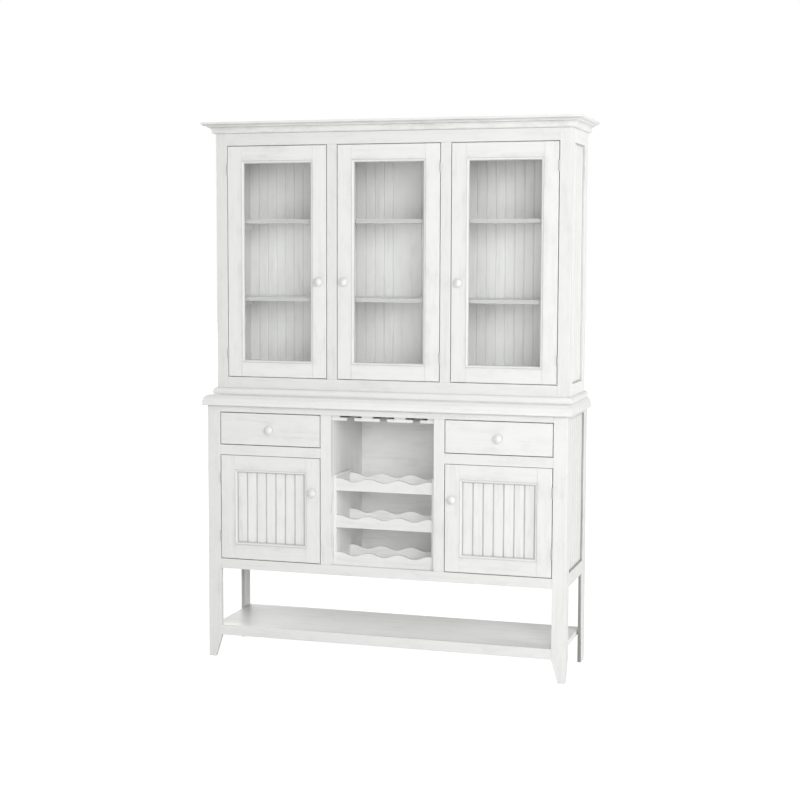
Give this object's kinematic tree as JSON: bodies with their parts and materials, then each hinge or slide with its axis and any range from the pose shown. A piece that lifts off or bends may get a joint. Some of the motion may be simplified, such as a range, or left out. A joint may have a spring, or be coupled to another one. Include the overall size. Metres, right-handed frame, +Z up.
{
  "type": "china cabinet",
  "caption": "White two-part china cabinet: a hutch with glass doors and crown over a buffet with drawers, panelled doors, wine and stemware racks and an open shelf.",
  "frame": {"origin": "on the floor under the middle of the cabinet's bounding box", "axes": "+Z up, the doors and drawers face -Y, +X to the right of someone who looks at the front"},
  "size_m": [1.49, 0.418, 2.084],
  "materials": {
    "painted_wood": "satin brushed white paint",
    "inside_wood": "matt white paint",
    "drawer_wood": "clear lacquer on pale hardwood",
    "hardware": "satin nickel",
    "door_glass": "clear"
  },
  "bodies": {
    "cabinet": {"base_face_frame": "painted_wood", "base_side_frames": "painted_wood", "base_side_panels": "painted_wood", "base_back_panel": "inside_wood", "base_floor": "inside_wood", "base_dividers": "inside_wood", "base_top": "painted_wood", "lower_shelf": "painted_wood", "lower_shelf_rails": "painted_wood", "drawer_runners": "drawer_wood", "stemware_rails": "painted_wood", "wine_rack_sides": "painted_wood", "wine_rack_rails": "painted_wood", "hutch_face_frame": "painted_wood", "hutch_side_frames": "painted_wood", "hutch_side_panels": "painted_wood", "hutch_back_boards": "inside_wood", "hutch_floor": "inside_wood", "hutch_shelves": "inside_wood", "shelf_cleats": "inside_wood", "hutch_top": "painted_wood", "crown_moulding": "painted_wood", "hutch_base_moulding": "painted_wood", "hinge_leaves": "hardware", "door_catches": "hardware"},
    "hutch_left_door": {"hutch_left_door_frame": "painted_wood", "hutch_left_door_bead": "painted_wood", "hutch_left_door_glass": "door_glass", "hutch_left_door_stops": "painted_wood", "hutch_left_door_knob": "painted_wood", "hutch_left_door_hardware": "hardware"},
    "hutch_middle_door": {"hutch_middle_door_frame": "painted_wood", "hutch_middle_door_bead": "painted_wood", "hutch_middle_door_glass": "door_glass", "hutch_middle_door_stops": "painted_wood", "hutch_middle_door_knob": "painted_wood", "hutch_middle_door_hardware": "hardware"},
    "hutch_right_door": {"hutch_right_door_frame": "painted_wood", "hutch_right_door_bead": "painted_wood", "hutch_right_door_glass": "door_glass", "hutch_right_door_stops": "painted_wood", "hutch_right_door_knob": "painted_wood", "hutch_right_door_hardware": "hardware"},
    "base_left_door": {"base_left_door_frame": "painted_wood", "base_left_door_bead": "painted_wood", "base_left_door_panel": "painted_wood", "base_left_door_knob": "painted_wood", "base_left_door_hardware": "hardware"},
    "base_right_door": {"base_right_door_frame": "painted_wood", "base_right_door_bead": "painted_wood", "base_right_door_panel": "painted_wood", "base_right_door_knob": "painted_wood", "base_right_door_hardware": "hardware"},
    "left_drawer": {"left_drawer_front": "painted_wood", "left_drawer_box": "drawer_wood", "left_drawer_knob": "painted_wood"},
    "right_drawer": {"right_drawer_front": "painted_wood", "right_drawer_box": "drawer_wood", "right_drawer_knob": "painted_wood"}
  },
  "joints": [
    {"name": "hutch_left_door_hinge", "type": "hinge", "parent": "cabinet", "child": "hutch_left_door", "pos_m": [-0.6535, -0.1089, 1.547], "axis": [0, 0, -1], "range_deg": [0, 105]},
    {"name": "hutch_middle_door_hinge", "type": "hinge", "parent": "cabinet", "child": "hutch_middle_door", "pos_m": [0.2035, -0.1089, 1.547], "axis": [0, 0, 1], "range_deg": [0, 105]},
    {"name": "hutch_right_door_hinge", "type": "hinge", "parent": "cabinet", "child": "hutch_right_door", "pos_m": [0.6535, -0.1089, 1.547], "axis": [0, 0, 1], "range_deg": [0, 105]},
    {"name": "base_left_door_hinge", "type": "hinge", "parent": "cabinet", "child": "base_left_door", "pos_m": [-0.657, -0.1839, 0.59675], "axis": [0, 0, -1], "range_deg": [0, 105]},
    {"name": "base_right_door_hinge", "type": "hinge", "parent": "cabinet", "child": "base_right_door", "pos_m": [0.657, -0.1839, 0.59675], "axis": [0, 0, 1], "range_deg": [0, 105]},
    {"name": "left_drawer_slide", "type": "slide", "parent": "cabinet", "child": "left_drawer", "axis": [0, -1, 0], "range_m": [0, 0.25]},
    {"name": "right_drawer_slide", "type": "slide", "parent": "cabinet", "child": "right_drawer", "axis": [0, -1, 0], "range_m": [0, 0.25]}
  ]
}
